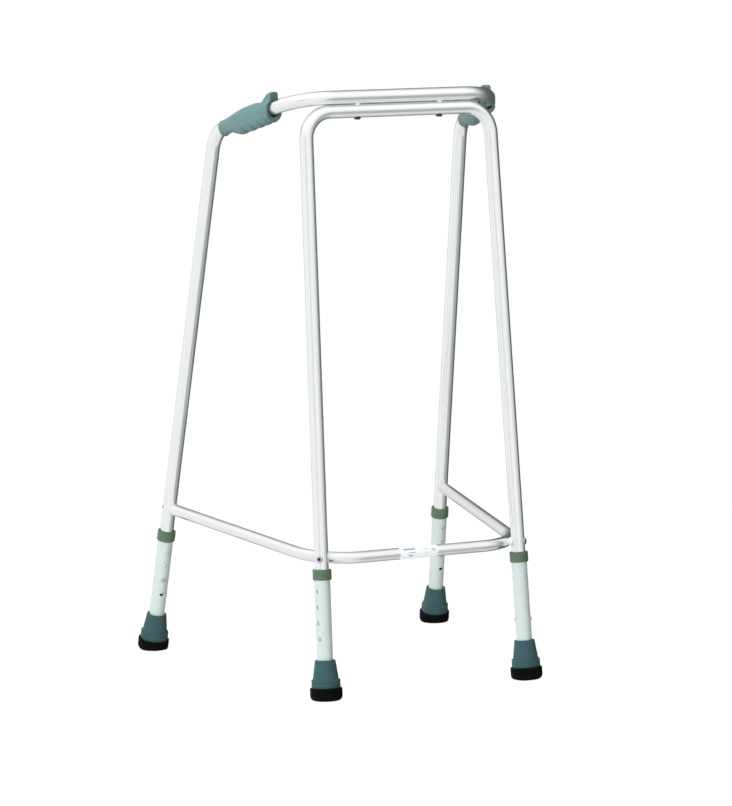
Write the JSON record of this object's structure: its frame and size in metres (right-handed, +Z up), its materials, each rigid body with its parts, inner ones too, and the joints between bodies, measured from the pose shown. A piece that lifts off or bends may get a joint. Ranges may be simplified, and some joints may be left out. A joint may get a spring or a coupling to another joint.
{
  "type": "walking frame",
  "caption": "Lightweight walking frame: bent tube handles and front loop, low brace, moulded grips, legs that slide to adjust height, and rubber feet.",
  "frame": {"origin": "on the floor, at the middle of the bounding box's bottom", "axes": "+Z up; -Y is the closed front and +Y the open back where the user stands; +X completes the right-handed set"},
  "size_m": [0.5904, 0.5613, 0.9679],
  "materials": {
    "frame_tube": "satin anodised",
    "brace_tube": "satin anodised",
    "extension_tube": "matt anodised",
    "grip": "soft moulded, grey-green",
    "collar": "moulded, sage green",
    "ferrule_shell": "moulded rubber-like, slate",
    "ferrule_tread": "matt black",
    "washer": "zinc plated",
    "spring_steel": "spring steel",
    "button": "yellow passivated",
    "fixing": "dark zinc",
    "rivet_nut": "zinc plated",
    "saddle": "moulded white",
    "plug": "moulded black",
    "label": "blank white film"
  },
  "bodies": {
    "frame": {"top_tube": "frame_tube", "front_frame_tube": "frame_tube", "lower_brace_tube": "brace_tube", "hand_grip_left": "grip", "hand_grip_right": "grip", "spring_clip_front_left": "spring_steel", "spring_clip_front_right": "spring_steel", "spring_clip_rear_left": "spring_steel", "spring_clip_rear_right": "spring_steel", "rail_screws": "fixing", "rail_rivet_nuts": "rivet_nut", "rail_saddles": "saddle", "brace_bolts": "fixing", "brace_saddles": "saddle", "brace_nuts": "fixing", "rear_brace_screws": "fixing", "rear_brace_plugs": "plug", "brace_label": "label"},
    "leg_front_left": {"leg_extension_front_left": "extension_tube", "collar_front_left": "collar", "ferrule_shell_front_left": "ferrule_shell", "ferrule_tread_front_left": "ferrule_tread", "ferrule_washer_front_left": "washer"},
    "button_front_left_outer_body": {"button_front_left_outer": "button"},
    "button_front_left_inner_body": {"button_front_left_inner": "button"},
    "leg_front_right": {"leg_extension_front_right": "extension_tube", "collar_front_right": "collar", "ferrule_shell_front_right": "ferrule_shell", "ferrule_tread_front_right": "ferrule_tread", "ferrule_washer_front_right": "washer"},
    "button_front_right_outer_body": {"button_front_right_outer": "button"},
    "button_front_right_inner_body": {"button_front_right_inner": "button"},
    "leg_rear_left": {"leg_extension_rear_left": "extension_tube", "collar_rear_left": "collar", "ferrule_shell_rear_left": "ferrule_shell", "ferrule_tread_rear_left": "ferrule_tread", "ferrule_washer_rear_left": "washer"},
    "button_rear_left_front_body": {"button_rear_left_front": "button"},
    "button_rear_left_back_body": {"button_rear_left_back": "button"},
    "leg_rear_right": {"leg_extension_rear_right": "extension_tube", "collar_rear_right": "collar", "ferrule_shell_rear_right": "ferrule_shell", "ferrule_tread_rear_right": "ferrule_tread", "ferrule_washer_rear_right": "washer"},
    "button_rear_right_front_body": {"button_rear_right_front": "button"},
    "button_rear_right_back_body": {"button_rear_right_back": "button"}
  },
  "joints": [
    {"name": "front_left_leg_length", "type": "slide", "parent": "frame", "child": "leg_front_left", "axis": [-0.0179, -0.1083, -0.994], "range_m": [0, 0.0762], "deforming": ["spring_clip_front_left", "button_front_left_outer", "button_front_left_inner"]},
    {"name": "button_front_left_outer_press", "type": "slide", "parent": "frame", "child": "button_front_left_outer_body", "axis": [0.8837, 0.4633, -0.0664], "range_m": [0, 0.0033], "stiffness_N_per_m": 1200, "springref_m": -0.004, "deforming": ["spring_clip_front_left"]},
    {"name": "button_front_left_inner_press", "type": "slide", "parent": "frame", "child": "button_front_left_inner_body", "axis": [-0.8837, -0.4633, 0.0664], "range_m": [0, 0.0033], "stiffness_N_per_m": 1200, "springref_m": -0.004, "deforming": ["spring_clip_front_left"]},
    {"name": "front_right_leg_length", "type": "slide", "parent": "frame", "child": "leg_front_right", "axis": [0.0179, -0.1083, -0.994], "range_m": [0, 0.0762], "deforming": ["spring_clip_front_right", "button_front_right_outer", "button_front_right_inner"]},
    {"name": "button_front_right_outer_press", "type": "slide", "parent": "frame", "child": "button_front_right_outer_body", "axis": [-0.8837, 0.4633, -0.0664], "range_m": [0, 0.0033], "stiffness_N_per_m": 1200, "springref_m": -0.004, "deforming": ["spring_clip_front_right"]},
    {"name": "button_front_right_inner_press", "type": "slide", "parent": "frame", "child": "button_front_right_inner_body", "axis": [0.8837, -0.4633, 0.0664], "range_m": [0, 0.0033], "stiffness_N_per_m": 1200, "springref_m": -0.004, "deforming": ["spring_clip_front_right"]},
    {"name": "rear_left_leg_length", "type": "slide", "parent": "frame", "child": "leg_rear_left", "axis": [-0.0469, 0.2072, -0.9772], "range_m": [-0.0254, 0.0508], "deforming": ["spring_clip_rear_left", "button_rear_left_front", "button_rear_left_back"]},
    {"name": "button_rear_left_front_press", "type": "slide", "parent": "frame", "child": "button_rear_left_front_body", "axis": [0.1163, 0.9727, 0.2006], "range_m": [0, 0.0033], "stiffness_N_per_m": 1200, "springref_m": -0.004, "deforming": ["spring_clip_rear_left"]},
    {"name": "button_rear_left_back_press", "type": "slide", "parent": "frame", "child": "button_rear_left_back_body", "axis": [-0.1163, -0.9727, -0.2006], "range_m": [0, 0.0033], "stiffness_N_per_m": 1200, "springref_m": -0.004, "deforming": ["spring_clip_rear_left"]},
    {"name": "rear_right_leg_length", "type": "slide", "parent": "frame", "child": "leg_rear_right", "axis": [0.0469, 0.2072, -0.9772], "range_m": [-0.0254, 0.0508], "deforming": ["spring_clip_rear_right", "button_rear_right_front", "button_rear_right_back"]},
    {"name": "button_rear_right_front_press", "type": "slide", "parent": "frame", "child": "button_rear_right_front_body", "axis": [-0.1163, 0.9727, 0.2006], "range_m": [0, 0.0033], "stiffness_N_per_m": 1200, "springref_m": -0.004, "deforming": ["spring_clip_rear_right"]},
    {"name": "button_rear_right_back_press", "type": "slide", "parent": "frame", "child": "button_rear_right_back_body", "axis": [0.1163, -0.9727, -0.2006], "range_m": [0, 0.0033], "stiffness_N_per_m": 1200, "springref_m": -0.004, "deforming": ["spring_clip_rear_right"]}
  ]
}
